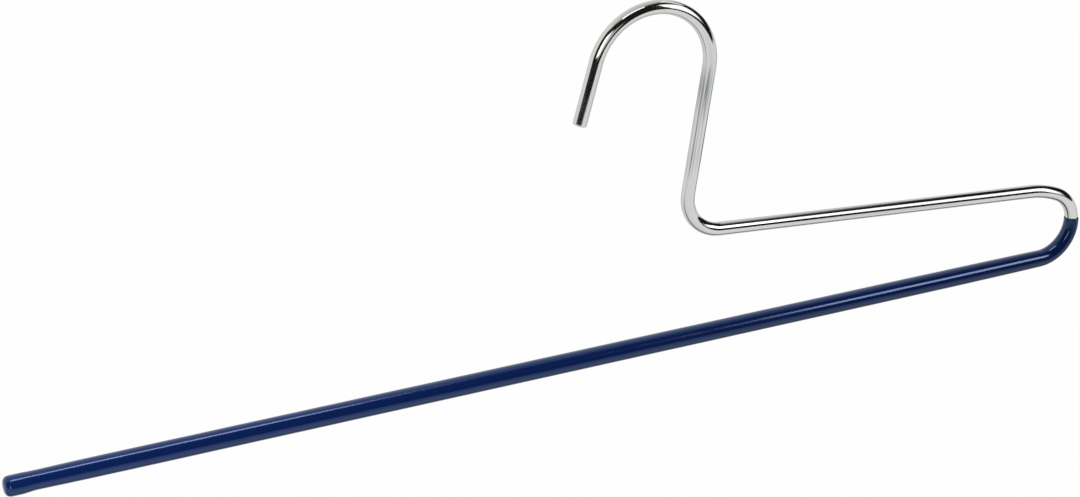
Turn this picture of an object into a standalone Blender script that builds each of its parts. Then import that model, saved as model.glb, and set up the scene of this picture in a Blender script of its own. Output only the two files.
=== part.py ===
"""Open-ended trouser hanger: one bent, chrome-plated steel wire, its lower arm dipped in an anti-slip coat.

The wire lies in the XZ plane. +X runs along the arms towards the end bend that joins them, +Z is up, and the
origin is the highest point inside the hook, where a rail carries the hanger. Lengths are in metres, and
headings are in degrees, turned from +X towards +Z.
"""

import copy
import math

import bmesh
import bpy
from mathutils import Matrix, Vector

# Wire, from the hook's cut end to the end inside the bead
WIRE_DIAMETER = 0.0040
TIP_CHAMFER = 0.0003
TIP_LEG_LENGTH = 0.0185
TIP_LEG_HEADING = 74.5
HOOK_INNER_RADIUS = 0.0160
STEM_LENGTH = 0.0380
STEM_HEADING = -98.4
CORNER_INNER_RADIUS = 0.0095
UPPER_ARM_LENGTH = 0.1080
UPPER_ARM_HEADING = -4.8
EASING_INNER_RADIUS = 0.0280
EASED_HEADING = -25.2
END_BEND_INNER_RADIUS = 0.0090
LOWER_ARM_LENGTH = 0.3236
LOWER_ARM_HEADING = -180.0

# Anti-slip coat: a thin lip in the end bend, a wall that thickens where it drained, and a drip bead
COAT_START_HEADING = -86.0
COAT_CLEARANCE = 0.0001
COAT_LIP_WALL = 0.00015
COAT_WALL = 0.00055
COAT_DRAIN_LENGTH = 0.0200
BEAD_LENGTH = 0.0065
BEAD_SWELL = 0.00025
BEAD_SAG = 0.0003
DOME_DEPTH = 0.0024

# Fineness of the meshes
RING_SIDES = 24
DEGREES_PER_STEP = 7.5
ARM_STEPS = 10
BEAD_STEPS = 6
DOME_STEPS = 6
SHARP_EDGE_DEGREES = 40.0

# Colours, as linear RGB
CHROME_COLOUR = (0.78, 0.79, 0.80)
CHROME_ROUGHNESS = 0.06
COAT_COLOUR = (0.008, 0.017, 0.095)
COAT_ROUGHNESS = 0.28

# What follows from them
WIRE_RADIUS = WIRE_DIAMETER / 2
BORE_RADIUS = WIRE_RADIUS + COAT_CLEARANCE
COATED_TURN = COAT_START_HEADING - LOWER_ARM_HEADING
COATED_BEND_LENGTH = math.radians(COATED_TURN) * (END_BEND_INNER_RADIUS + WIRE_RADIUS)
BEAD_START = COATED_BEND_LENGTH + LOWER_ARM_LENGTH - BEAD_LENGTH
DOME_START = BEAD_START + BEAD_LENGTH


def wire_radius_at(distance):
    """Returns the drawn wire's radius at this distance from the hook's cut end, which is chamfered."""
    return WIRE_RADIUS - max(TIP_CHAMFER - distance, 0.0)


def bore_radius_at(_distance):
    """Returns the radius of the coat's bore, the same all along it."""
    return BORE_RADIUS


def coat_radius_at(distance):
    """Returns the coat's outer radius at this distance from its lip, through the drip bead and its dome."""
    drained = 1.0 - math.exp(-distance / COAT_DRAIN_LENGTH)
    bead_share = min(max((distance - BEAD_START) / BEAD_LENGTH, 0.0), 1.0)
    dome_share = min(max((distance - DOME_START) / DOME_DEPTH, 0.0), 1.0)
    wall = COAT_LIP_WALL + (COAT_WALL - COAT_LIP_WALL) * drained
    swell = BEAD_SWELL * (1.0 - math.cos(math.pi * bead_share)) / 2
    return (BORE_RADIUS + wall + swell) * math.sqrt(1.0 - dome_share**2)


def heading_vector(heading):
    """Returns the unit vector of a heading in the XZ plane."""
    angle = math.radians(heading)
    return Vector((math.cos(angle), 0.0, math.sin(angle)))


def edges_among(verts):
    """Returns the edges whose two ends are both in verts, each once and in the order of verts."""
    inside = set(verts)
    return [
        edge
        for vert in verts
        for edge in vert.link_edges
        if edge.verts[0] == vert and edge.verts[1] in inside
    ]


class TubeRun:
    """A round tube grown ring by ring in the XZ plane, the way wire is fed and bent."""

    def __init__(self, mesh, start, heading, radius_at):
        """Starts with a circle of edges square to the heading; radius_at gives the radius from the distance run."""
        self.mesh = mesh
        self.centre = Vector(start)
        self.heading = heading
        self.radius_at = radius_at
        self.radius = radius_at(0.0)
        self.travelled = 0.0
        placed = Matrix.Translation(self.centre) @ Matrix.Rotation(math.radians(90.0 - heading), 4, "Y")
        made = bmesh.ops.create_circle(mesh, segments=RING_SIDES, radius=self.radius, matrix=placed)
        self.ring = edges_among(made["verts"])

    def inner_run(self, radius_at):
        """Returns a second run that starts from this run's first ring, drawn in to the radius of its own."""
        inner = copy.copy(self)
        inner.radius_at = radius_at
        inner.grow(Matrix.Identity(4))
        return inner

    def grow(self, move):
        """Extrudes the open ring, carries it by move and gives it the radius of the distance run."""
        grown = bmesh.ops.extrude_edge_only(self.mesh, edges=self.ring)["geom"]
        verts = [piece for piece in grown if isinstance(piece, bmesh.types.BMVert)]
        radius = self.radius_at(self.travelled)
        self.centre = move @ self.centre
        there = Matrix.Translation(self.centre)
        resized = there @ Matrix.Scale(radius / self.radius, 4) @ there.inverted()
        bmesh.ops.transform(self.mesh, matrix=resized @ move, verts=verts)
        self.radius = radius
        self.ring = edges_among(verts)

    def feed(self, length, steps=1, drop=0.0):
        """Runs straight on by length in equal steps, its end sinking by drop."""
        step = (heading_vector(self.heading) * length - Vector((0.0, 0.0, drop))) / steps
        for _ in range(steps):
            self.travelled += length / steps
            self.grow(Matrix.Translation(step))

    def bend(self, inner_radius, heading):
        """Turns to a new heading about an axis along Y that lies inner_radius from the bare wire's side."""
        turn = heading - self.heading
        bend_radius = math.copysign(inner_radius + WIRE_RADIUS, turn)
        axis = Matrix.Translation(self.centre + heading_vector(self.heading + 90.0) * bend_radius)
        steps = math.ceil(abs(turn) / DEGREES_PER_STEP)
        turned = Matrix.Rotation(math.radians(-turn / steps), 4, "Y")
        for _ in range(steps):
            self.travelled += bend_radius * math.radians(turn / steps)
            self.grow(axis @ turned @ axis.inverted())
        self.heading = heading

    def close(self):
        """Fills the open ring with a flat face and returns it."""
        return bmesh.ops.edgeloop_fill(self.mesh, edges=self.ring)["faces"][0]


def wire_start():
    """Returns the centre of the hook's cut end, worked back from the axis of the hook's bend."""
    hook_axis = Vector((0.0, 0.0, -HOOK_INNER_RADIUS))
    outwards = heading_vector(TIP_LEG_HEADING + 90.0) * (HOOK_INNER_RADIUS + WIRE_RADIUS)
    return hook_axis + outwards - heading_vector(TIP_LEG_HEADING) * TIP_LEG_LENGTH


def build_wire():
    """Bends the wire, and returns its mesh and the place on its centreline where the coat starts."""
    mesh = bmesh.new()
    wire = TubeRun(mesh, wire_start(), TIP_LEG_HEADING, wire_radius_at)
    wire.close()
    wire.feed(TIP_CHAMFER)
    wire.feed(TIP_LEG_LENGTH - TIP_CHAMFER)
    wire.bend(HOOK_INNER_RADIUS, STEM_HEADING)
    wire.feed(STEM_LENGTH)
    wire.bend(CORNER_INNER_RADIUS, UPPER_ARM_HEADING)
    wire.feed(UPPER_ARM_LENGTH)
    wire.bend(EASING_INNER_RADIUS, EASED_HEADING)
    wire.bend(END_BEND_INNER_RADIUS, COAT_START_HEADING)
    coat_start = wire.centre.copy()
    wire.bend(END_BEND_INNER_RADIUS, LOWER_ARM_HEADING)
    wire.feed(LOWER_ARM_LENGTH, ARM_STEPS)
    wire.close()
    return mesh, coat_start


def build_coat(coat_start):
    """Returns the coat's mesh: an outer skin from the lip to the drip bead, and a blind bore for the wire."""
    mesh = bmesh.new()
    skin = TubeRun(mesh, coat_start, COAT_START_HEADING, coat_radius_at)
    bore = skin.inner_run(bore_radius_at)
    bore.bend(END_BEND_INNER_RADIUS, LOWER_ARM_HEADING)
    bore.feed(LOWER_ARM_LENGTH + COAT_CLEARANCE, ARM_STEPS)
    bore.close()

    skin.bend(END_BEND_INNER_RADIUS, LOWER_ARM_HEADING)
    skin.feed(LOWER_ARM_LENGTH - BEAD_LENGTH, ARM_STEPS)
    skin.feed(BEAD_LENGTH, BEAD_STEPS, drop=BEAD_SAG)
    for step in range(1, DOME_STEPS):
        reach = DOME_DEPTH * math.sin(math.radians(90.0) * step / DOME_STEPS)
        skin.feed(DOME_START + reach - skin.travelled)
    pole = bmesh.ops.poke(mesh, faces=[skin.close()])["verts"][0]
    pole.co += heading_vector(LOWER_ARM_HEADING) * (DOME_START + DOME_DEPTH - skin.travelled)
    return mesh


def principled(name, colour, metallic, roughness):
    """Returns a Principled BSDF material."""
    material = bpy.data.materials.new(name)
    material.use_nodes = True
    shader = material.node_tree.nodes["Principled BSDF"]
    shader.inputs["Base Color"].default_value = (*colour, 1.0)
    shader.inputs["Metallic"].default_value = metallic
    shader.inputs["Roughness"].default_value = roughness
    return material


def add_object(name, mesh, material):
    """Turns the faces outwards, shades the round sides smooth and links the object to the scene."""
    bmesh.ops.recalc_face_normals(mesh, faces=mesh.faces)
    data = bpy.data.meshes.new(name)
    mesh.to_mesh(data)
    mesh.free()
    data.shade_smooth()
    data.set_sharp_from_angle(angle=math.radians(SHARP_EDGE_DEGREES))
    data.materials.append(material)
    bpy.context.scene.collection.objects.link(bpy.data.objects.new(name, data))


def main():
    for old in list(bpy.data.objects):
        bpy.data.objects.remove(old, do_unlink=True)
    chrome = principled("Chrome plate", CHROME_COLOUR, 1.0, CHROME_ROUGHNESS)
    navy = principled("Navy dipped PVC", COAT_COLOUR, 0.0, COAT_ROUGHNESS)
    wire_mesh, coat_start = build_wire()
    add_object("bent_wire", wire_mesh, chrome)
    add_object("anti_slip_coating", build_coat(coat_start), navy)


main()
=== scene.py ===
"""Trouser hanger as in the photograph: a bent chrome wire whose lower arm is dipped in an anti-slip coat.

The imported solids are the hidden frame, and each has one fine surface here that stands for it. The wire and
the coat are swept along the same bends, worked out from the hanger's own sizes. Lengths are in metres and
headings in degrees, turned from +X towards +Z. The origin is the highest point inside the hook.
"""

import logging
import math
from dataclasses import dataclass, field
from enum import Enum

import bpy
import numpy as np
from mathutils import Euler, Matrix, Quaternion, Vector


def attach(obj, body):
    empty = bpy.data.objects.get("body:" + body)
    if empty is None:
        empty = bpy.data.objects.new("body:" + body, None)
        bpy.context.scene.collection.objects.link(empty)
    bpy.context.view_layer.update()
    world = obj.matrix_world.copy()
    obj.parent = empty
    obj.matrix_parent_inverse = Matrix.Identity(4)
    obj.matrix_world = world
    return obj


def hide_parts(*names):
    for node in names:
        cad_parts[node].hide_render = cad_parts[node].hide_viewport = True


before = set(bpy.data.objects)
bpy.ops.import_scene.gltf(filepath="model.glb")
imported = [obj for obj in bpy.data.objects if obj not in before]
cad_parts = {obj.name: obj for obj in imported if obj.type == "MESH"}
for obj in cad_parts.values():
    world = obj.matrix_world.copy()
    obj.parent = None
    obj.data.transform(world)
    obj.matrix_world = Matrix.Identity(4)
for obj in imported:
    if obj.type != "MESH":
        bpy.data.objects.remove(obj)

LOG = logging.getLogger("trouser_hanger")
MILLIMETRES = 1000.0
STRAIGHTENED = "straightened_mm"
FULL_TURN = 2.0 * math.pi
QUARTER_TURN = math.pi / 2
Span = tuple[float, float]
Triple = tuple[float, float, float]
Colour = tuple[float, float, float, float]


def linear(hex_colour: str) -> Colour:
    """Turns an sRGB colour into linear RGBA.

    By the sRGB transfer curve a share up to 0.04045 is divided by 12.92, and any other is
    ((share + 0.055) / 1.055) to the power of 2.4.

    Args:
        hex_colour: the colour as #RRGGBB.

    Returns:
        Linear red, green and blue, and an alpha of 1.
    """
    shares = np.array([int(hex_colour[place : place + 2], 16) for place in (1, 3, 5)]) / 255.0
    bent = np.where(shares <= 0.04045, shares / 12.92, ((shares + 0.055) / 1.055) ** 2.4)
    return (*bent.tolist(), 1.0)


def add_node(
    tree: bpy.types.NodeTree, kind: str, settings: dict | None = None, inputs: dict | None = None
) -> bpy.types.Node:
    """Adds a node with its settings and inputs.

    Args:
        tree: the node tree that the node joins.
        kind: Blender's name for the kind of node.
        settings: the node's own properties by name.
        inputs: by input name or number, a value to set or an output socket to link.

    Returns:
        The new node.
    """
    node = tree.nodes.new(kind)
    for name, value in (settings or {}).items():
        setattr(node, name, value)
    for name, value in (inputs or {}).items():
        if isinstance(value, bpy.types.NodeSocket):
            tree.links.new(value, node.inputs[name])
        else:
            node.inputs[name].default_value = value
    return node


def fresh_material(name: str) -> tuple[bpy.types.Material, bpy.types.NodeTree]:
    """Makes a material with an empty node tree.

    Args:
        name: the material's name.

    Returns:
        The material and its node tree.
    """
    material = bpy.data.materials.new(name)
    material.use_nodes = True
    material.node_tree.nodes.clear()
    return material, material.node_tree


class Relief(Enum):
    """Which way a finish's fine relief runs: its stretch along the wire, as a multiple of its width."""

    DRAWN_LINES = 60.0
    ORANGE_PEEL = 1.6


@dataclass(frozen=True)
class ChromePlate:
    """Bright decorative chrome over drawn steel wire, plated after bending.

    It is a cool, slightly dark mirror: the eye reads it from the dark and white bands that it mirrors, which
    waver a little because the plate follows the drawing lines of the wire below it. Soft, darker streaks run
    along the wire, most of all on the stem: a painted dark reflection in the plate's own colour.
    """

    colour: str = "#D2D2D0"
    edge_tint: str = "#D2D6D6"
    # Streaks, a painted dark reflection: their width, the part of their noise that shows, and the share that
    # shows away from the stem
    dark_reflection_colour: str = "#707A7B"
    streak_width_mm: float = 0.9
    streak_detail: float = 2.0
    streak_noise: Span = (0.45, 0.64)
    streaks_elsewhere: float = 0.15
    # Where the painted reflection is strongest, on the stem, from the cut end: its middle, and how far the
    # streaks stay full and then fade
    reflection_middle_mm: float = 89.0
    reflection_fade_mm: Span = (9.5, 19.0)
    # Polish: clean, and in faintly hazy patches
    clean_roughness: float = 0.07
    hazy_roughness: float = 0.12
    haze_size_mm: float = 5.0
    haze_detail: float = 2.0
    haze_noise: Span = (0.35, 0.75)
    # Real drawing lines lie under 0.1 mm apart, too fine to show, so they are drawn five times as coarse
    line_spacing_mm: float = 0.5
    line_detail: float = 1.0
    line_depth: float = 0.000003

    def material(self) -> bpy.types.Material:
        """Builds the material: a metal with hazier patches, painted dark reflections in streaks and fine
        lines along the wire.

        Returns:
            The material, which reads the place on the straightened wire in millimetres.
        """
        material, tree = fresh_material("Chrome plate on drawn steel wire")
        place = add_node(tree, "ShaderNodeAttribute", {"attribute_name": STRAIGHTENED}).outputs["Vector"]
        haze = add_node(tree, "ShaderNodeTexNoise", {}, {
            "Vector": place, "Scale": 1.0 / self.haze_size_mm, "Detail": self.haze_detail})
        roughness = add_node(tree, "ShaderNodeMapRange", {}, {
            "Value": haze.outputs["Fac"], "From Min": self.haze_noise[0], "From Max": self.haze_noise[1],
            "To Min": self.clean_roughness, "To Max": self.hazy_roughness})
        drawn = add_node(tree, "ShaderNodeMapping", {}, {
            "Vector": place, "Scale": (1.0 / Relief.DRAWN_LINES.value, 1.0, 1.0)})
        lines = add_node(tree, "ShaderNodeTexNoise", {}, {
            "Vector": drawn.outputs["Vector"], "Scale": 1.0 / self.line_spacing_mm,
            "Detail": self.line_detail})
        bump = add_node(tree, "ShaderNodeBump", {}, {
            "Height": lines.outputs["Fac"], "Strength": 1.0, "Distance": self.line_depth})
        streaks = add_node(tree, "ShaderNodeTexNoise", {}, {
            "Vector": drawn.outputs["Vector"], "Scale": 1.0 / self.streak_width_mm,
            "Detail": self.streak_detail})
        streaked = add_node(tree, "ShaderNodeMapRange", {"interpolation_type": "SMOOTHSTEP"}, {
            "Value": streaks.outputs["Fac"], "From Min": self.streak_noise[0],
            "From Max": self.streak_noise[1]})
        along = add_node(tree, "ShaderNodeSeparateXYZ", {}, {"Vector": place})
        off_middle = add_node(tree, "ShaderNodeMath", {"operation": "SUBTRACT"}, {
            0: along.outputs["X"], 1: self.reflection_middle_mm})
        distance = add_node(tree, "ShaderNodeMath", {"operation": "ABSOLUTE"}, {
            0: off_middle.outputs["Value"]})
        reflection_weight = add_node(tree, "ShaderNodeMapRange", {"interpolation_type": "SMOOTHSTEP"}, {
            "Value": distance.outputs["Value"], "From Min": self.reflection_fade_mm[0],
            "From Max": self.reflection_fade_mm[1], "To Min": 1.0, "To Max": self.streaks_elsewhere})
        share = add_node(tree, "ShaderNodeMath", {"operation": "MULTIPLY"}, {
            0: streaked.outputs["Result"], 1: reflection_weight.outputs["Result"]})
        # Painted dark reflection: the streaks darken the chrome's own colour, most of all on the stem
        plate = add_node(tree, "ShaderNodeMix", {"data_type": "RGBA"}, {
            "Factor": share.outputs["Value"], "A": linear(self.colour), "B": linear(self.dark_reflection_colour)})
        shader = add_node(tree, "ShaderNodeBsdfPrincipled", {}, {
            "Base Color": plate.outputs["Result"], "Metallic": 1.0, "Specular Tint": linear(self.edge_tint),
            "Roughness": roughness.outputs["Result"], "Normal": bump.outputs["Normal"]})
        add_node(tree, "ShaderNodeOutputMaterial", {}, {"Surface": shader.outputs["BSDF"]})
        return material


@dataclass(frozen=True)
class DippedPvc:
    """Navy plastisol, which is soft PVC: the warm wire was dipped in it, drained and cured.

    It is a deep blue with a wet gloss, a little lighter towards the drip, where the skin drained thicker;
    this lightening is partly painted light along the arm. The gloss is drawn out into one narrow line along
    the arm, which wavers a little because the skin cured while it still flowed. Right by the lip the skin is
    thin, and the bright wire below turns it teal.
    """

    # Body colour by the lip and at the drip, which lies arm_reach_mm along the arm; the lighter drip is
    # partly painted light
    thinner: str = "#041337"
    thicker: str = "#0C235C"
    arm_reach_mm: float = 340.0
    # Body colour in faint patches, and their greatest share
    mottled: str = "#0A1D4A"
    mottled_share: float = 0.3
    mottle_size_mm: float = 7.0
    mottle_detail: float = 3.0
    mottle_noise: Span = (0.4, 0.7)
    # Teal of the thin skin, and how far it reaches from the lip
    thin_colour: str = "#032140"
    thin_reach_mm: float = 3.2
    gloss_tint: str = "#A2C6FF"
    ior: float = 1.53
    specular_level: float = 0.82
    glossy_roughness: float = 0.12
    dull_roughness: float = 0.17
    dull_noise: Span = (0.3, 0.7)
    peel_size_mm: float = 2.5
    peel_detail: float = 1.0
    peel_depth: float = 0.000005

    def material(self) -> bpy.types.Material:
        """Builds the material: glossy blue plastic, teal by the lip, with a faint orange peel.

        Returns:
            The material, which reads the place on the straightened arm in millimetres from the lip.
        """
        material, tree = fresh_material("Navy dipped PVC plastisol")
        place = add_node(tree, "ShaderNodeAttribute", {"attribute_name": STRAIGHTENED}).outputs["Vector"]
        mottle = add_node(tree, "ShaderNodeTexNoise", {}, {
            "Vector": place, "Scale": 1.0 / self.mottle_size_mm, "Detail": self.mottle_detail})
        along = add_node(tree, "ShaderNodeSeparateXYZ", {}, {"Vector": place})
        # Partly painted light: the body colour lightens along the arm towards the drip
        drained = add_node(tree, "ShaderNodeMapRange", {}, {
            "Value": along.outputs["X"], "From Min": 0.0, "From Max": self.arm_reach_mm})
        skin = add_node(tree, "ShaderNodeMix", {"data_type": "RGBA"}, {
            "Factor": drained.outputs["Result"], "A": linear(self.thinner), "B": linear(self.thicker)})
        patches = add_node(tree, "ShaderNodeMapRange", {}, {
            "Value": mottle.outputs["Fac"], "From Min": self.mottle_noise[0],
            "From Max": self.mottle_noise[1], "To Max": self.mottled_share})
        body = add_node(tree, "ShaderNodeMix", {"data_type": "RGBA"}, {
            "Factor": patches.outputs["Result"], "A": skin.outputs["Result"], "B": linear(self.mottled)})
        thin = add_node(tree, "ShaderNodeMapRange", {"interpolation_type": "SMOOTHSTEP"}, {
            "Value": along.outputs["X"], "From Min": 0.0, "From Max": self.thin_reach_mm,
            "To Min": 1.0, "To Max": 0.0})
        colour = add_node(tree, "ShaderNodeMix", {"data_type": "RGBA"}, {
            "Factor": thin.outputs["Result"], "A": body.outputs["Result"], "B": linear(self.thin_colour)})
        roughness = add_node(tree, "ShaderNodeMapRange", {}, {
            "Value": mottle.outputs["Fac"], "From Min": self.dull_noise[0], "From Max": self.dull_noise[1],
            "To Min": self.glossy_roughness, "To Max": self.dull_roughness})
        drawn = add_node(tree, "ShaderNodeMapping", {}, {
            "Vector": place, "Scale": (1.0 / Relief.ORANGE_PEEL.value, 1.0, 1.0)})
        peel = add_node(tree, "ShaderNodeTexNoise", {}, {
            "Vector": drawn.outputs["Vector"], "Scale": 1.0 / self.peel_size_mm, "Detail": self.peel_detail})
        bump = add_node(tree, "ShaderNodeBump", {}, {
            "Height": peel.outputs["Fac"], "Strength": 1.0, "Distance": self.peel_depth})
        shader = add_node(tree, "ShaderNodeBsdfPrincipled", {}, {
            "Base Color": colour.outputs["Result"], "IOR": self.ior,
            "Specular IOR Level": self.specular_level, "Specular Tint": linear(self.gloss_tint),
            "Roughness": roughness.outputs["Result"], "Normal": bump.outputs["Normal"]})
        add_node(tree, "ShaderNodeOutputMaterial", {}, {"Surface": shader.outputs["BSDF"]})
        return material


@dataclass(frozen=True)
class SweepPaper:
    """Matt white paper of the studio's floor, which the camera and the mirrors see nearly as white light.

    What the mirrors see of it dims towards the room, and in the hanger's own shadow, a soft band along Y = 0.
    """

    colour: str = "#F3F6F6"
    roughness: float = 0.9
    # Share of plain white in what the camera sees of it; the rest is paper and keeps the shadow
    seen_share: float = 0.985
    # Mirrored level, lit and dimmed, and where it dims along the direction of the room
    lit_level: float = 1.0
    dim_level: float = 0.05
    dimming: Span = (0.0, 0.33)
    # Mirrored level in the middle of the shadow, and the shadow's reach to either side
    shadow_level: float = 0.35
    shadow_reach: float = 0.035

    def material(self, ahead: Vector) -> bpy.types.Material:
        """Builds the material: paper that keeps shadows, with white light mixed in for what looks at it.

        Args:
            ahead: the level unit vector along which the mirrored floor dims.

        Returns:
            The material.
        """
        material, tree = fresh_material("White sweep paper")
        ray = add_node(tree, "ShaderNodeLightPath").outputs
        mirrored = add_node(tree, "ShaderNodeMath", {"operation": "MAXIMUM"}, {
            0: ray["Is Glossy Ray"], 1: ray["Is Transmission Ray"]})
        share = add_node(tree, "ShaderNodeMath", {"operation": "MULTIPLY_ADD"}, {
            0: ray["Is Camera Ray"], 1: self.seen_share, 2: mirrored.outputs["Value"]})
        paper = add_node(tree, "ShaderNodeBsdfPrincipled", {}, {
            "Base Color": linear(self.colour), "Roughness": self.roughness, "Specular IOR Level": 0.0})
        spot = add_node(tree, "ShaderNodeTexCoord").outputs["Object"]
        place = add_node(tree, "ShaderNodeVectorMath", {"operation": "DOT_PRODUCT"}, {
            0: spot, 1: tuple(ahead)})
        graded = add_node(tree, "ShaderNodeMapRange", {}, {
            "Value": place.outputs["Value"], "From Min": self.dimming[0], "From Max": self.dimming[1],
            "To Min": self.lit_level, "To Max": self.dim_level})
        beside = add_node(tree, "ShaderNodeMath", {"operation": "ABSOLUTE"}, {
            0: add_node(tree, "ShaderNodeSeparateXYZ", {}, {"Vector": spot}).outputs["Y"]})
        shadow = add_node(tree, "ShaderNodeMapRange", {"interpolation_type": "SMOOTHSTEP"}, {
            "Value": beside.outputs["Value"], "From Min": 0.0, "From Max": self.shadow_reach,
            "To Min": self.shadow_level, "To Max": 1.0})
        shaded = add_node(tree, "ShaderNodeMath", {"operation": "MULTIPLY"}, {
            0: graded.outputs["Result"], 1: shadow.outputs["Result"]})
        level = add_node(tree, "ShaderNodeMix", {"data_type": "FLOAT"}, {
            "Factor": mirrored.outputs["Value"], "A": 1.0, "B": shaded.outputs["Value"]})
        glow = add_node(tree, "ShaderNodeEmission", {}, {
            "Color": (1.0, 1.0, 1.0, 1.0), "Strength": level.outputs["Result"]})
        mixed = add_node(tree, "ShaderNodeMixShader", {}, {
            0: share.outputs["Value"], 1: paper.outputs["BSDF"], 2: glow.outputs["Emission"]})
        add_node(tree, "ShaderNodeOutputMaterial", {}, {"Surface": mixed.outputs["Shader"]})
        return material


@dataclass(frozen=True)
class Stretch:
    """A stretch of wire with one curvature: length, and heading before and after it."""

    length: float
    before: float
    after: float


@dataclass(frozen=True)
class WireRoute:
    """The wire's centreline, from the hook's cut end to the end inside the drip, in the XZ plane.

    The fields follow the wire: straight lengths, the inner radius of each bend, and the heading after it.
    """

    wire_radius: float = 0.0020
    tip_leg: float = 0.0185
    tip_leg_heading: float = 74.5
    hook_inner_radius: float = 0.0160
    stem: float = 0.0380
    stem_heading: float = -98.4
    corner_inner_radius: float = 0.0095
    upper_arm: float = 0.1080
    upper_arm_heading: float = -4.8
    easing_inner_radius: float = 0.0280
    eased_heading: float = -25.2
    end_bend_inner_radius: float = 0.0090
    coat_start_heading: float = -86.0
    lower_arm: float = 0.3236
    lower_arm_heading: float = -180.0
    # Stretches before the coat's lip
    bare_stretches: int = 7

    def bend(self, before: float, after: float, inner_radius: float) -> Stretch:
        """Returns the stretch that turns from one heading to another round a former of this radius."""
        return Stretch(math.radians(abs(after - before)) * (inner_radius + self.wire_radius), before, after)

    def stretches(self) -> list[Stretch]:
        """Lists the stretches of the wire.

        Returns:
            The stretches in the order in which the wire is fed and bent.
        """
        leg, stem = self.tip_leg_heading, self.stem_heading
        arm, low = self.upper_arm_heading, self.lower_arm_heading
        return [
            Stretch(self.tip_leg, leg, leg),
            self.bend(leg, stem, self.hook_inner_radius),
            Stretch(self.stem, stem, stem),
            self.bend(stem, arm, self.corner_inner_radius),
            Stretch(self.upper_arm, arm, arm),
            self.bend(arm, self.eased_heading, self.easing_inner_radius),
            self.bend(self.eased_heading, self.coat_start_heading, self.end_bend_inner_radius),
            self.bend(self.coat_start_heading, low, self.end_bend_inner_radius),
            Stretch(self.lower_arm, low, low),
        ]

    def joints(self) -> np.ndarray:
        """Returns the distances from the cut end at which the stretches begin and end."""
        return np.concatenate([[0.0], np.cumsum([stretch.length for stretch in self.stretches()])])

    def coat_start(self) -> float:
        """Returns the distance from the cut end at which the coat's lip lies."""
        return float(self.joints()[self.bare_stretches])

    def length(self) -> float:
        """Returns the length of the whole wire."""
        return float(self.joints()[-1])

    def start(self) -> np.ndarray:
        """Works back to the cut end from the hook's axis, which lies its inner radius below the origin.

        Returns:
            The centre of the cut end as (x, z).
        """
        heading = math.radians(self.tip_leg_heading)
        bend_radius = self.hook_inner_radius + self.wire_radius
        outwards = np.array([-math.sin(heading), math.cos(heading)]) * bend_radius
        along = np.array([math.cos(heading), math.sin(heading)]) * self.tip_leg
        return np.array([0.0, -self.hook_inner_radius]) + outwards - along

    def at(self, distances: np.ndarray) -> tuple[np.ndarray, np.ndarray]:
        """Finds points on the centreline.

        On a stretch of curvature k that starts at p with heading h, the point at s is p plus
        (n(h) - n(h + k s)) / k, where n(h) is the unit vector to the left of heading h, and p plus s times
        the heading's vector where k is 0. Past its last stretch the wire runs straight on.

        Args:
            distances: distances from the cut end, of any number.

        Returns:
            The points as (x, z) rows, and the headings there in radians.
        """
        stretches = self.stretches()
        lengths = np.array([stretch.length for stretch in stretches])
        before = np.radians([stretch.before for stretch in stretches])
        bends = (np.radians([stretch.after for stretch in stretches]) - before) / lengths

        def run_on(which: np.ndarray, part: np.ndarray) -> np.ndarray:
            """Gives the run from the start of stretches, by their numbers and the distances run along them.

            Args:
                which: the stretches' numbers.
                part: the distance run along each.

            Returns:
                The runs as (x, z) rows.
            """
            heading, curve = before[which], bends[which]
            safe = np.where(curve == 0.0, 1.0, curve)
            turned = heading + curve * part
            x = np.where(curve == 0.0, np.cos(heading) * part, (np.sin(turned) - np.sin(heading)) / safe)
            z = np.where(curve == 0.0, np.sin(heading) * part, (np.cos(heading) - np.cos(turned)) / safe)
            return np.stack([x, z], axis=-1)

        steps = run_on(np.arange(len(stretches)), lengths)
        starts = self.start() + np.concatenate([np.zeros((1, 2)), np.cumsum(steps, axis=0)[:-1]])
        found = np.searchsorted(self.joints(), distances, side="right") - 1
        found = np.clip(found, 0, len(stretches) - 1)
        part = distances - self.joints()[found]
        return starts[found] + run_on(found, part), before[found] + bends[found] * part

    def stations(self, first: float, last: float, straight_step: float, bend_step: float) -> np.ndarray:
        """Spreads stations along the wire, closer in its bends.

        Args:
            first: where they start, as a distance from the cut end.
            last: where they end.
            straight_step: the widest step on a straight stretch.
            bend_step: the widest turn from one station to the next in a bend, in degrees.

        Returns:
            The stations' distances from the cut end, in rising order.
        """
        runs = []
        for stretch, begin, end in zip(self.stretches(), self.joints()[:-1], self.joints()[1:]):
            low, high = max(begin, first), min(end, last)
            if high > low:
                turn = abs(stretch.after - stretch.before) * (high - low) / stretch.length
                straight_steps = math.ceil((high - low) / straight_step) if turn == 0.0 else 1
                steps = max(straight_steps, math.ceil(turn / bend_step))
                runs.append(np.linspace(low, high, steps + 1)[1:])
        return np.concatenate([[first], *runs])


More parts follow.
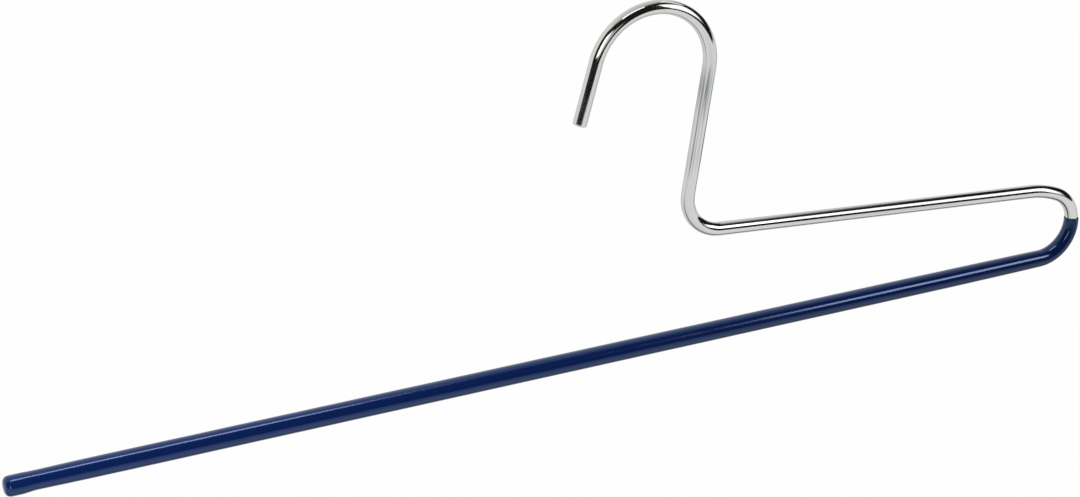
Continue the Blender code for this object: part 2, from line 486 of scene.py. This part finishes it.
@dataclass
class SweptTube:
    """A closed round surface carried along the wire's route, from one pole to another."""

    route: WireRoute
    sides: int

    def turns(self) -> np.ndarray:
        """Returns the angle of each side round the tube, from the heading's left towards +Y."""
        return np.arange(self.sides) * (FULL_TURN / self.sides)

    def points(
        self, distances: np.ndarray, radii: np.ndarray, drops: np.ndarray
    ) -> tuple[np.ndarray, np.ndarray]:
        """Carries the profile along the route.

        The point on row i and side j is the centre at distance i, plus the radius times (cos of the side's
        angle along the left of the heading + sin of it along +Y), lowered by the row's drop. The same point
        with the wire laid straight is (distance, radius cos, radius sin).

        Args:
            distances: each row's distance from the cut end.
            radii: the radius of each row, or of each row and side.
            drops: how far each row is lowered.

        Returns:
            The surface's points and the same points on the straightened wire, both as rows by sides by 3.
        """
        centre, heading = self.route.at(distances)
        radii = np.broadcast_to(radii if radii.ndim == 2 else radii[:, None], (len(distances), self.sides))
        left = radii * np.cos(self.turns())
        side = radii * np.sin(self.turns())
        x = centre[:, :1] - np.sin(heading)[:, None] * left
        z = centre[:, 1:] + np.cos(heading)[:, None] * left - drops[:, None]
        run = np.broadcast_to(distances[:, None], left.shape)
        return np.stack([x, side, z], axis=-1), np.stack([run, left, side], axis=-1)

    def build(self, name: str, surface: np.ndarray, straightened: np.ndarray) -> bpy.types.Object:
        """Makes the mesh object. The first and last rows are poles, each one vertex.

        Args:
            name: the piece's name.
            surface: points as rows by sides by 3, in metres.
            straightened: the same points on the straightened wire, which the finishes read in millimetres.

        Returns:
            The object, at the origin, with its faces outwards.
        """
        rows = len(surface) - 2

        def flat(grid: np.ndarray) -> np.ndarray:
            """Returns the grid's points in one list, each pole once."""
            return np.concatenate([grid[:1, 0], grid[1:-1].reshape(-1, 3), grid[-1:, 0]])

        ring = 1 + np.arange(rows * self.sides).reshape(rows, self.sides)
        turned = np.roll(ring, -1, axis=1)
        last = rows * self.sides + 1
        quads = np.stack([ring[:-1], ring[1:], turned[1:], turned[:-1]], axis=-1).reshape(-1, 4)
        first_fan = np.stack([np.zeros(self.sides, int), ring[0], turned[0]], axis=-1)
        last_fan = np.stack([np.full(self.sides, last), turned[-1], ring[-1]], axis=-1)
        faces = [*first_fan.tolist(), *quads.tolist(), *last_fan.tolist()]
        mesh = bpy.data.meshes.new(name)
        mesh.from_pydata(flat(surface).tolist(), [], faces)
        stored = mesh.attributes.new(STRAIGHTENED, "FLOAT_VECTOR", "POINT")
        stored.data.foreach_set("vector", (flat(straightened) * MILLIMETRES).astype(np.float32).ravel())
        mesh.shade_smooth()
        mesh.update()
        made = bpy.data.objects.new(name, mesh)
        bpy.context.scene.collection.objects.link(made)
        return made


def dress(piece: bpy.types.Object, material: bpy.types.Material, node: str) -> bpy.types.Object:
    """Gives a finished piece its material and its place in the frame.

    Args:
        piece: the finished object.
        material: its finish.
        node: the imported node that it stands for.

    Returns:
        The same piece.
    """
    piece.data.materials.append(material)
    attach(piece, "root")
    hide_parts(node)
    return piece


@dataclass
class BentWire:
    """The chrome-plated steel wire, cut off at the hook's end and hidden in the coat at the other."""

    route: WireRoute
    finish: ChromePlate = field(default_factory=ChromePlate)
    # The cut ends: how far the sheared face bulges, and the rounding of its edge
    face_bulge: float = 0.00008
    edge_round: float = 0.00030
    # Fineness of the mesh: lengths, degrees and counts
    sides: int = 96
    straight_step: float = 0.0015
    bend_step: float = 1.5
    face_rows: int = 8
    edge_rows: int = 8

    def end_profile(self) -> tuple[np.ndarray, np.ndarray]:
        """Profile of a cut end, from its pole to the wire's side.

        The face rises as a shallow bowl: distance = bulge times (radius / face radius) squared. A quarter
        circle of the edge's rounding joins it to the side.

        Returns:
            Distances from the end and radii, pole first.
        """
        face_radius = self.route.wire_radius - self.edge_round
        share = np.linspace(0.0, 1.0, self.face_rows)
        angle = np.linspace(0.0, QUARTER_TURN, self.edge_rows + 1)[1:]
        distance = np.concatenate([
            self.face_bulge * share**2, self.face_bulge + self.edge_round * (1.0 - np.cos(angle))])
        radius = np.concatenate([face_radius * share, face_radius + self.edge_round * np.sin(angle)])
        return distance, radius

    def build(self) -> bpy.types.Object:
        """Sweeps the wire from its cut end to its end inside the drip.

        Returns:
            The dressed piece.
        """
        end, end_radius = self.end_profile()
        side = end[-1] + self.edge_round
        middle = self.route.stations(side, self.route.length() - side, self.straight_step, self.bend_step)
        distances = np.concatenate([end, middle, self.route.length() - end[::-1]])
        radii = np.concatenate([end_radius, np.full(len(middle), self.route.wire_radius), end_radius[::-1]])
        tube = SweptTube(self.route, self.sides)
        surface, straightened = tube.points(distances, radii, np.zeros(len(distances)))
        piece = tube.build("chrome_wire", surface, straightened)
        return dress(piece, self.finish.material(), "bent_wire")


@dataclass
class DippedCoat:
    """The anti-slip skin from its lip in the end bend to the drip at the arm's end, with the wire's bore.

    A run is a distance from the lip along the wire's centreline.
    """

    route: WireRoute
    finish: DippedPvc = field(default_factory=DippedPvc)
    # The bore's clearance round the wire, and the wall, which thickens from the lip over the drain length
    clearance: float = 0.0001
    lip_wall: float = 0.00015
    wall: float = 0.00055
    drain_length: float = 0.0200
    # What the skin gained in thickness and how far it sank before it cured
    thickening: float = 0.00019
    settling: float = 0.00017
    # The lip's rounding, half of its climb on the highest side, that side's angle, and the climb's reach
    lip_round: float = 0.00022
    lip_climb: float = 0.0003
    lip_climb_turn: float = 205.0
    lip_climb_reach: float = 0.0025
    # The neck, which drained thin before the drip
    neck_thinning: float = 0.00014
    neck_reach: float = 0.0250
    # The drip: its length up to the wire's end, the run in which it swells, its swell and sag, and its dome
    bead_length: float = 0.0065
    bead_rise: float = 0.0045
    bead_swell: float = 0.00025
    bead_sag: float = 0.0003
    dome_depth: float = 0.0024
    dome_power: float = 3.0
    # The waves: their height, and the length, lobes, phase and weight of each sine
    wave_height: float = 0.000015
    wave_lengths: tuple[float, ...] = (0.041, 0.023, 0.0137, 0.0083)
    wave_lobes: tuple[int, ...] = (1, 2, 0, 3)
    wave_phases: tuple[float, ...] = (0.4, 2.1, 4.0, 1.2)
    wave_weights: tuple[float, ...] = (0.4, 0.25, 0.2, 0.15)
    # Fineness of the mesh: lengths, degrees and counts
    sides: int = 96
    skin_step: float = 0.0010
    bend_step: float = 1.5
    bore_step: float = 0.0100
    bore_bend_step: float = 6.0
    dome_rows: int = 16
    lip_rows: int = 8

    def bore_radius(self) -> float:
        """Returns the radius of the bore that the wire lies in."""
        return self.route.wire_radius + self.clearance

    def bead_begin(self) -> float:
        """Returns the run at which the drip begins to swell."""
        return self.route.length() - self.route.coat_start() - self.bead_length

    def bead_share(self, run: np.ndarray) -> np.ndarray:
        """Returns how far the drip has swollen at each run, from 0 to 1 in a half cosine."""
        share = np.clip((run - self.bead_begin()) / self.bead_rise, 0.0, 1.0)
        return (1.0 - np.cos(math.pi * share)) / 2.0

    def skin_radius(self, run: np.ndarray) -> np.ndarray:
        """Outer radius of the drained skin.

        It is bore + lip wall + (wall - lip wall) (1 - e^(-run / drain length)) + the drip's swell.

        Args:
            run: distances from the lip.

        Returns:
            The radii there, without the skin's waves.
        """
        drained = 1.0 - np.exp(-run / self.drain_length)
        wall = self.lip_wall + (self.wall - self.lip_wall) * drained
        return self.bore_radius() + wall + self.bead_swell * self.bead_share(run)

    def rim(self) -> float:
        """Returns the radius of the drip where its dome begins, at the wire's end."""
        return float(self.skin_radius(np.array([self.route.length() - self.route.coat_start()]))[0])

    def settled_share(self, run: np.ndarray) -> np.ndarray:
        """Returns the share to which the skin has thickened and sunk here: none at the lip or in the drip."""
        return (1.0 - np.exp(-np.maximum(run, 0.0) / self.drain_length)) * (1.0 - self.bead_share(run))

    def neck_share(self, run: np.ndarray) -> np.ndarray:
        """Returns the share of the neck's thinning here, which grows as a square and ends in the drip."""
        nearness = np.clip(1.0 - (self.bead_begin() - run) / self.neck_reach, 0.0, 1.0)
        return nearness**2 * (1.0 - self.bead_share(run))

    def climbs(self, run: np.ndarray, turns: np.ndarray) -> np.ndarray:
        """How far the lip stands up the wire on each side, as it does on a wire that is dipped at a slant.

        It is climb (1 + cos(angle - the highest side's angle)) at the lip, and fades as e^(-run / reach).

        Args:
            run: distances from the lip, one a row.
            turns: the angles of the sides.

        Returns:
            The shifts towards the hook, as rows by sides.
        """
        share = 1.0 + np.cos(turns - math.radians(self.lip_climb_turn))
        return self.lip_climb * np.exp(-np.maximum(run, 0.0) / self.lip_climb_reach)[:, None] * share

    def waves(self, run: np.ndarray, turns: np.ndarray) -> np.ndarray:
        """Waves of a skin that cured while it flowed, as a sum of sines along and round the arm.

        Each sine has its own length along the arm and its own number of lobes round it. Their sum is shifted
        to lie between -2 heights and 0, so that no wave rises above the drained skin.

        Args:
            run: distances from the lip, one a row.
            turns: the angles of the sides.

        Returns:
            What the waves add to the radius, as rows by sides.
        """
        along = FULL_TURN * run[:, None, None] / np.array(self.wave_lengths)
        around = np.array(self.wave_lobes) * turns[None, :, None] + np.array(self.wave_phases)
        return self.wave_height * ((np.sin(along + around) * np.array(self.wave_weights)).sum(axis=-1) - 1.0)

    def profile(self) -> tuple[np.ndarray, np.ndarray, int, int]:
        """Profile of the coat: up the bore from its end, round the lip and back along the skin to the drip.

        The lip is a quarter ellipse: run = round (1 - sin t) and radius = bore + (skin - bore) cos t. The
        drip's dome is a superellipse: distance = depth (sin t)^(2/power) and radius = rim (cos t)^(2/power).

        Returns:
            Distances from the wire's cut end, radii, and the numbers of the lip's and the skin's first rows.
        """
        start, end, bore_radius = self.route.coat_start(), self.route.length(), self.bore_radius()
        bore = self.route.stations(start, end + self.clearance, self.bore_step, self.bore_bend_step)[::-1]
        lip = np.linspace(0.0, QUARTER_TURN, self.lip_rows + 2)[-2:0:-1]
        skin = self.route.stations(start + self.lip_round, end, self.skin_step, self.bend_step)
        dome = np.linspace(0.0, QUARTER_TURN, self.dome_rows + 1)[1:]
        lip_top = self.skin_radius(np.array([self.lip_round]))[0]
        distances = np.concatenate([
            bore[:1], bore, start + self.lip_round * (1.0 - np.sin(lip)), skin,
            end + self.dome_depth * np.sin(dome) ** (2.0 / self.dome_power)])
        radii = np.concatenate([
            [0.0], np.full(len(bore), bore_radius), bore_radius + (lip_top - bore_radius) * np.cos(lip),
            self.skin_radius(skin - start),
            self.rim() * np.cos(dome).clip(0.0, 1.0) ** (2.0 / self.dome_power)])
        lip_row = 1 + len(bore)
        return distances, radii, lip_row, lip_row + len(lip)

    def build(self) -> bpy.types.Object:
        """Sweeps the profile, and adds the skin's waves and thickness, its sinking and the lip's climb.

        Returns:
            The dressed piece.
        """
        distances, radii, lip_row, skin_row = self.profile()
        tube = SweptTube(self.route, self.sides)
        rows = np.arange(len(radii))
        run = distances - self.route.coat_start()

        settled = self.settled_share(run)
        thicker = self.thickening * settled - self.neck_thinning * self.neck_share(run)
        fade = np.clip(run / self.drain_length, 0.0, 1.0) * (radii / self.rim()).clip(0.0, 1.0)
        gained = self.waves(run, tube.turns()) * fade[:, None] + thicker[:, None]
        sunk = self.bead_sag * self.bead_share(run) + self.settling * settled
        on_skin = rows >= skin_row
        surface, straightened = tube.points(
            distances, radii[:, None] + np.where(on_skin[:, None], gained, 0.0), np.where(on_skin, sunk, 0.0))

        climbs = np.where(rows[:, None] >= lip_row, self.climbs(run, tube.turns()), 0.0)
        heading = self.route.at(distances)[1]
        ahead = np.stack([np.cos(heading), np.zeros(len(heading)), np.sin(heading)], axis=-1)
        surface -= climbs[:, :, None] * ahead[:, None]
        straightened[:, :, 0] -= self.route.coat_start() + climbs
        piece = tube.build("dipped_coat", surface, straightened)
        return dress(piece, self.finish.material(), "anti_slip_coating")


class Lit(Enum):
    """What a lamp lights: one piece, the other being shaded from it by flags as studios do."""

    WIRE = "chrome_wire"
    COAT = "dipped_coat"


@dataclass(frozen=True)
class Softbox:
    """A rectangular studio lamp that faces the hanger.

    It hangs at an azimuth, elevation and distance from the aim, and azimuth 0 is +Y and 90 is +X. A mirror
    shows its radiance, where 1 is white. A graded lamp's light rises from none to full between two shares of
    its height. A lamp that isn't mirrored is plain fill, which lights a body colour and shows in no gloss.
    """

    name: str
    lit: Lit
    azimuth: float
    elevation: float
    distance: float
    width: float
    height: float
    roll: float
    radiance: float
    graded: Span | None = None
    colour: str = "#FFFFFF"
    mirrored: bool = True

    def grade(self, light: bpy.types.Light) -> None:
        """Lets the lamp's light rise from none to full between two shares of its height.

        Args:
            light: the lamp's data.
        """
        light.use_nodes = True
        tree = light.node_tree
        tree.nodes.clear()
        place = add_node(tree, "ShaderNodeSeparateXYZ", {}, {
            "Vector": add_node(tree, "ShaderNodeNewGeometry").outputs["Parametric"]})
        share = add_node(tree, "ShaderNodeMapRange", {}, {
            "Value": place.outputs["Y"], "From Min": self.graded[0], "From Max": self.graded[1]})
        glow = add_node(tree, "ShaderNodeEmission", {}, {"Strength": share.outputs["Result"]})
        add_node(tree, "ShaderNodeOutputLight", {}, {"Surface": glow.outputs["Emission"]})

    def build(self, aim: Vector) -> bpy.types.Object:
        """Hangs the lamp at its place round the aim.

        An even area lamp's power is its radiance times its area times pi.

        Args:
            aim: the point that it faces.

        Returns:
            The lamp.
        """
        azimuth, elevation = math.radians(self.azimuth), math.radians(self.elevation)
        flat = math.cos(elevation)
        away = Vector((math.sin(azimuth) * flat, math.cos(azimuth) * flat, math.sin(elevation)))
        light = bpy.data.lights.new(self.name, "AREA")
        light.shape = "RECTANGLE"
        light.size = self.width
        light.size_y = self.height
        light.energy = self.radiance * self.width * self.height * math.pi
        light.color = linear(self.colour)[:3]
        if self.graded:
            self.grade(light)
        lamp = bpy.data.objects.new(self.name, light)
        lamp.location = aim + away * self.distance
        rolled = Quaternion((0.0, 0.0, 1.0), math.radians(self.roll))
        lamp.rotation_euler = (away.to_track_quat("Z", "Y") @ rolled).to_euler()
        lamp.visible_camera = False
        lamp.visible_glossy = self.mirrored
        bpy.context.scene.collection.objects.link(lamp)
        receivers = bpy.data.collections.new(f"lit_by_{self.name}")
        receivers.objects.link(bpy.data.objects[self.lit.value])
        lamp.light_linking.receiver_collection = receivers
        return lamp


@dataclass
class Studio:
    """A white sweep and backdrop, an unlit room on the camera's side, and the lamps.

    In the surroundings a direction's height is the Z of its unit vector, and its part towards the room is its
    dot product with the level vector towards the room.
    """

    aim: Triple = (0.05, 0.0, -0.07)
    dark_azimuth: float = 163.0
    # The floor: its height, its edge towards the room, and its reach to the other sides
    floor_level: float = -0.149
    floor_front: float = 0.41
    floor_reach: float = 4.0
    paper: SweepPaper = field(default_factory=SweepPaper)
    # The backdrop, which grows faint between two heights
    backdrop_colour: str = "#FFFFFC"
    faint_heights: Span = (0.60, 0.90)
    faint_level: float = 0.72
    # The room's level and its soft edge, which leans towards the room between two heights
    room_level: float = 0.012
    room_edge: Span = (-0.40, -0.22)
    lean_heights: Span = (0.67, 0.80)
    lean: float = 0.25
    # The lit ceiling: it begins between these heights, and ends softly over the room
    ceiling_heights: Span = (0.79, 0.93)
    ceiling_edge: Span = (-0.10, 0.40)
    # Name, lit piece, azimuth, elevation, distance, width, height, roll, radiance, grading, colour, mirrored
    lamps: tuple[Softbox, ...] = (
        Softbox("wire_key", Lit.WIRE, 128.6, 29.0, 0.712, 0.47, 0.40, -22.0, 1.8),
        Softbox("wire_key_side", Lit.WIRE, 129.2, 13.7, 1.600, 0.32, 0.80, 0.0, 1.4),
        Softbox("wire_card", Lit.WIRE, 155.1, 37.3, 0.155, 0.05, 0.085, 0.0, 1.5),
        Softbox("wire_card_behind", Lit.WIRE, 20.0, 84.0, 0.114, 0.048, 0.036, 0.0, 0.9),
        Softbox("wire_front", Lit.WIRE, -140.0, 19.0, 0.900, 0.46, 0.42, -10.0, 2.0),
        Softbox("wire_front_wing", Lit.WIRE, -166.0, 8.0, 0.900, 0.46, 0.30, 0.0, 0.8),
        Softbox("wire_overhead", Lit.WIRE, -157.1, 71.2, 0.877, 0.45, 0.22, 22.9, 1.8),
        Softbox("wire_floor", Lit.WIRE, 163.0, -89.8, 0.0785, 4.00, 0.79, 0.0, 0.95, (0.481, 0.899)),
        Softbox("coat_key", Lit.COAT, 128.5, 24.5, 0.710, 0.461, 0.22, -17.0, 8.2, None, "#FFECE4"),
        Softbox("coat_front", Lit.COAT, -152.0, 8.0, 0.900, 0.14, 0.38, 0.0, 6.0, None, "#FFECE4"),
        Softbox("coat_overhead", Lit.COAT, -153.4, 81.2, 0.880, 0.445, 0.17, 44.3, 8.8, None, "#FFECE4"),
        Softbox("coat_fill", Lit.COAT, -150.0, 35.0, 2.000, 1.20, 1.20, 0.0, 4.6, None, "#FFFFFF", False),
    )

    def towards_dark(self) -> Vector:
        """Returns the level unit vector towards the unlit room."""
        azimuth = math.radians(self.dark_azimuth)
        return Vector((math.sin(azimuth), math.cos(azimuth), 0.0))

    def build_floor(self) -> bpy.types.Object:
        """Lays the sweep's floor, a rectangle whose front edge crosses the room's direction at floor_front.

        Returns:
            The floor.
        """
        ahead = self.towards_dark()
        across = Vector((-ahead.y, ahead.x, 0.0))
        base = Vector((0.0, 0.0, self.floor_level))
        corners = [
            base + ahead * forward + across * sideways
            for forward, sideways in (
                (self.floor_front, -self.floor_reach), (self.floor_front, self.floor_reach),
                (-self.floor_reach, self.floor_reach), (-self.floor_reach, -self.floor_reach))
        ]
        mesh = bpy.data.meshes.new("sweep_floor")
        mesh.from_pydata([tuple(corner) for corner in corners], [], [(0, 1, 2, 3)])
        mesh.materials.append(self.paper.material(ahead))
        floor = bpy.data.objects.new("sweep_floor", mesh)
        bpy.context.scene.collection.objects.link(floor)
        return floor

    def build_world(self) -> bpy.types.World:
        """Surrounds the scene: white to the camera, and to all else a backdrop, a ceiling and a dark room.

        Returns:
            The scene's world.
        """
        world = bpy.data.worlds.new("Studio surroundings")
        world.use_nodes = True
        tree = world.node_tree
        tree.nodes.clear()
        way = add_node(tree, "ShaderNodeTexCoord").outputs["Generated"]
        facing = add_node(tree, "ShaderNodeVectorMath", {"operation": "DOT_PRODUCT"}, {
            0: way, 1: tuple(self.towards_dark())}).outputs["Value"]
        height = add_node(tree, "ShaderNodeSeparateXYZ", {}, {"Vector": way}).outputs["Z"]
        lean, faint, ceiling, near = (
            add_node(tree, "ShaderNodeMapRange", {"interpolation_type": "SMOOTHSTEP"}, {
                "Value": value, "From Min": begin, "From Max": end,
                "To Min": low, "To Max": high}).outputs["Result"]
            for value, (begin, end), low, high in (
                (height, self.lean_heights, 0.0, self.lean),
                (height, self.faint_heights, 1.0, self.faint_level),
                (height, self.ceiling_heights, 0.0, 1.0),
                (facing, self.ceiling_edge, 1.0, 0.0)))
        leaned = add_node(tree, "ShaderNodeMath", {"operation": "SUBTRACT"}, {0: facing, 1: lean})
        ahead = add_node(tree, "ShaderNodeMapRange", {"interpolation_type": "SMOOTHSTEP"}, {
            "Value": leaned.outputs["Value"], "From Min": self.room_edge[0], "From Max": self.room_edge[1]})
        above = add_node(tree, "ShaderNodeMath", {"operation": "MULTIPLY"}, {0: ceiling, 1: near})
        below = add_node(tree, "ShaderNodeMath", {"operation": "SUBTRACT"}, {
            0: 1.0, 1: above.outputs["Value"]})
        dark = add_node(tree, "ShaderNodeMath", {"operation": "MULTIPLY"}, {
            0: ahead.outputs["Result"], 1: below.outputs["Value"]})
        level = add_node(tree, "ShaderNodeMapRange", {}, {
            "Value": dark.outputs["Value"], "To Min": faint, "To Max": self.room_level})
        ray = add_node(tree, "ShaderNodeLightPath").outputs
        seen = add_node(tree, "ShaderNodeMix", {"data_type": "FLOAT"}, {
            "Factor": ray["Is Camera Ray"], "A": level.outputs["Result"], "B": 1.0})
        light = add_node(tree, "ShaderNodeBackground", {}, {
            "Color": linear(self.backdrop_colour), "Strength": seen.outputs["Result"]})
        add_node(tree, "ShaderNodeOutputWorld", {}, {"Surface": light.outputs["Background"]})
        bpy.context.scene.world = world
        return world

    def build(self) -> None:
        """Builds the floor, the surroundings and the lamps."""
        self.build_floor()
        self.build_world()
        for lamp in self.lamps:
            lamp.build(Vector(self.aim))


@dataclass(frozen=True)
class PhotographCamera:
    """The camera as fitted to the wire's outline in the photograph.

    Azimuth 0 looks along +Y and a negative one towards +X, and a negative elevation looks down.
    """

    place: Triple = (-0.31577, -0.60752, 0.25948)
    azimuth: float = -24.863
    elevation: float = -25.797
    lens: float = 88.756
    sensor: float = 36.0
    near: float = 0.01
    far: float = 50.0

    def build(self) -> bpy.types.Object:
        """Sets up the camera without shift or depth of field, and makes it the scene's.

        Returns:
            The camera.
        """
        data = bpy.data.cameras.new("photograph_camera")
        data.sensor_fit = "HORIZONTAL"
        data.sensor_width = self.sensor
        data.lens = self.lens
        data.clip_start = self.near
        data.clip_end = self.far
        camera = bpy.data.objects.new("photograph_camera", data)
        camera.location = self.place
        camera.rotation_euler = Euler((math.radians(90.0 + self.elevation), 0.0, math.radians(self.azimuth)))
        bpy.context.scene.collection.objects.link(camera)
        bpy.context.scene.camera = camera
        return camera


def main() -> None:
    """Builds the hanger's two pieces and the studio round them."""
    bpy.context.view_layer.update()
    route = WireRoute()
    for piece in (BentWire(route).build(), DippedCoat(route).build()):
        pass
    Studio().build()
    PhotographCamera().build()
    bpy.context.scene.view_settings.view_transform = "Standard"
    bpy.context.view_layer.update()


if __name__ == "__main__":
    logging.basicConfig(level=logging.INFO, format="%(message)s")
    main()
